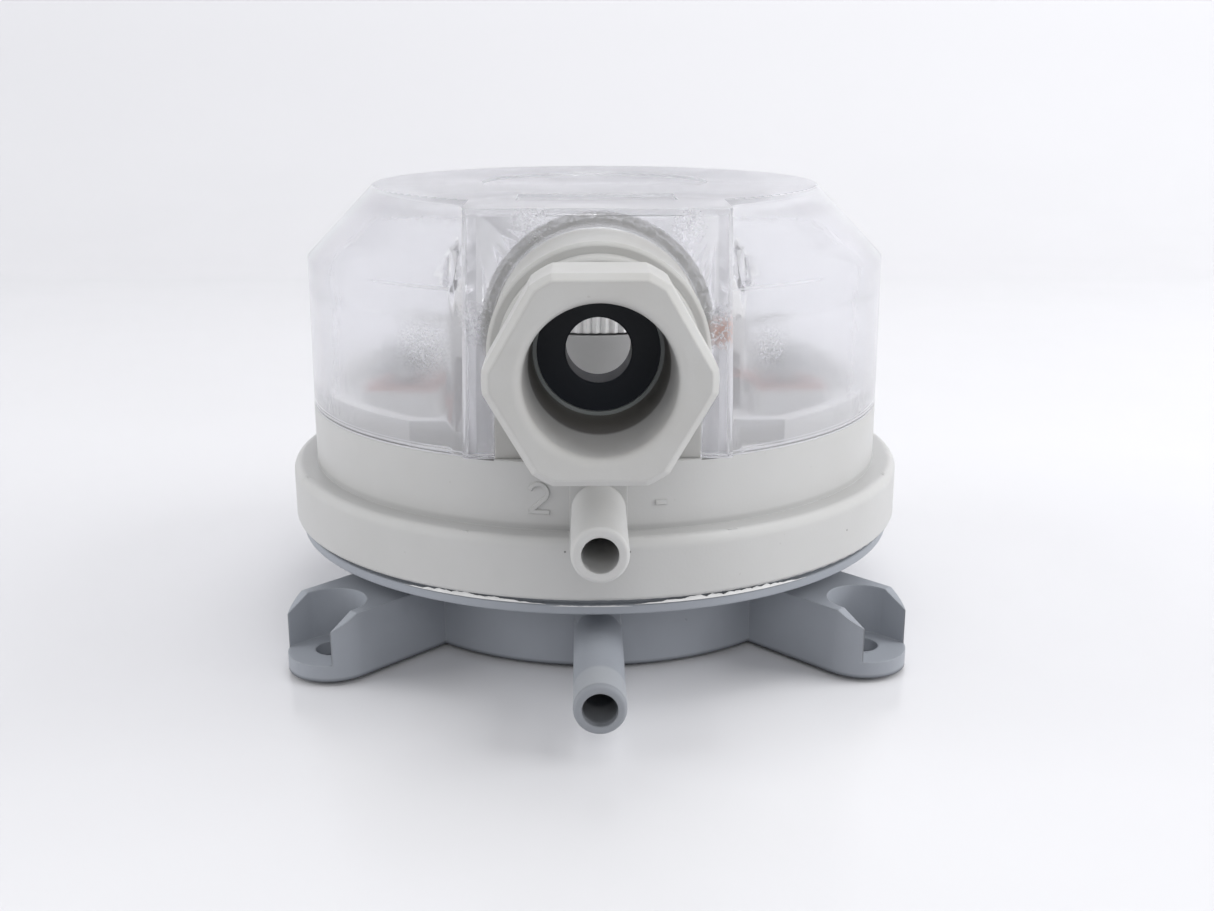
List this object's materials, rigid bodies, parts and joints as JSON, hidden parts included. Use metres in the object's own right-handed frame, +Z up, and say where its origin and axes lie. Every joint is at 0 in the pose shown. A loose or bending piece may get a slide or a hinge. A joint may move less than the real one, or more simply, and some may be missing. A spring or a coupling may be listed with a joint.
{
  "type": "differential pressure switch",
  "caption": "Round differential pressure switch with two hose ports, screw lugs, a cable gland and a clear lift-off cover over its setting dial and terminals.",
  "frame": {"origin": "centre of the foot face on the axis of the round can", "axes": "+Z up through the cover, -Y the way the hose ports and the cable gland point"},
  "size_m": [0.085, 0.1045, 0.0586],
  "materials": {
    "beige_housing": "moulded, fine satin",
    "grey_housing": "moulded, satin",
    "clear_cover": "clear plastic, frosted walls and glossy edges",
    "black_rubber": "smooth rubber",
    "white_plastic": "moulded",
    "grey_washer": "moulded",
    "silicone": "matt silicone",
    "brass": "turned",
    "copper_strip": "stamped copper alloy",
    "contact_silver": "silver rivet",
    "zinc_steel": "zinc plated",
    "spring_steel": "drawn wire"
  },
  "bodies": {
    "can": {"lower_housing": "grey_housing", "upper_housing": "beige_housing", "housing_screws": "zinc_steel", "diaphragm": "silicone", "rod_bush": "brass", "rod_seal": "black_rubber", "nc_contact": "contact_silver", "no_contact": "contact_silver", "nc_terminal": "copper_strip", "no_terminal": "copper_strip", "com_terminal": "copper_strip", "terminal_clamps": "zinc_steel", "terminal_screws": "zinc_steel", "switch_carrier": "white_plastic", "carrier_screws": "zinc_steel", "setting_spring": "spring_steel", "gland_body": "beige_housing", "gland_seal": "black_rubber"},
    "plunger": {"diaphragm_plate": "white_plastic", "diaphragm_washer": "white_plastic", "push_rod": "spring_steel"},
    "arm": {"contact_arm": "copper_strip", "arm_contact": "contact_silver"},
    "dial": {"setting_dial": "white_plastic", "adjusting_screw": "brass"},
    "seat": {"spring_seat": "brass"},
    "cover": {"clear_cover": "clear_cover"},
    "thrust": {"gland_washer": "grey_washer"},
    "nut": {"gland_nut": "beige_housing"}
  },
  "joints": [
    {"name": "plunger_slide", "type": "slide", "parent": "can", "child": "plunger", "axis": [0, 0, 1], "range_m": [0, 0.0006], "stiffness_N_per_m": 300, "springref_m": -0.002, "deforming": ["diaphragm", "setting_spring"]},
    {"name": "arm_swing", "type": "hinge", "parent": "can", "child": "arm", "pos_m": [0, 0.014, 0.0316], "axis": [-1, 0, 0], "range_deg": [0, 2.5]},
    {"name": "dial_turn", "type": "hinge", "parent": "can", "child": "dial", "pos_m": [0, 0, 0.0406], "axis": [0, 0, 1], "range_deg": [-135, 135]},
    {"name": "seat_slide", "type": "slide", "parent": "can", "child": "seat", "axis": [0, 0, 1], "range_m": [-0.000376, 0.000376]},
    {"name": "cover_lift", "type": "slide", "parent": "can", "child": "cover", "axis": [0, 0, 1], "range_m": [0, 0.035]},
    {"name": "thrust_slide", "type": "slide", "parent": "can", "child": "thrust", "axis": [0, -1, 0], "range_m": [0, 0.003]},
    {"name": "gland_nut_turn", "type": "hinge", "parent": "thrust", "child": "nut", "pos_m": [0, -0.0575, 0.0443], "axis": [0, -1, 0], "range_deg": [0, 720]}
  ],
  "couplings": [
    {"joint": "arm_swing", "follows": "plunger_slide", "rad_per_m": 71.429},
    {"joint": "seat_slide", "follows": "dial_turn", "m_per_rad": 0.00015915},
    {"joint": "thrust_slide", "follows": "gland_nut_turn", "m_per_rad": 0.00023873}
  ]
}
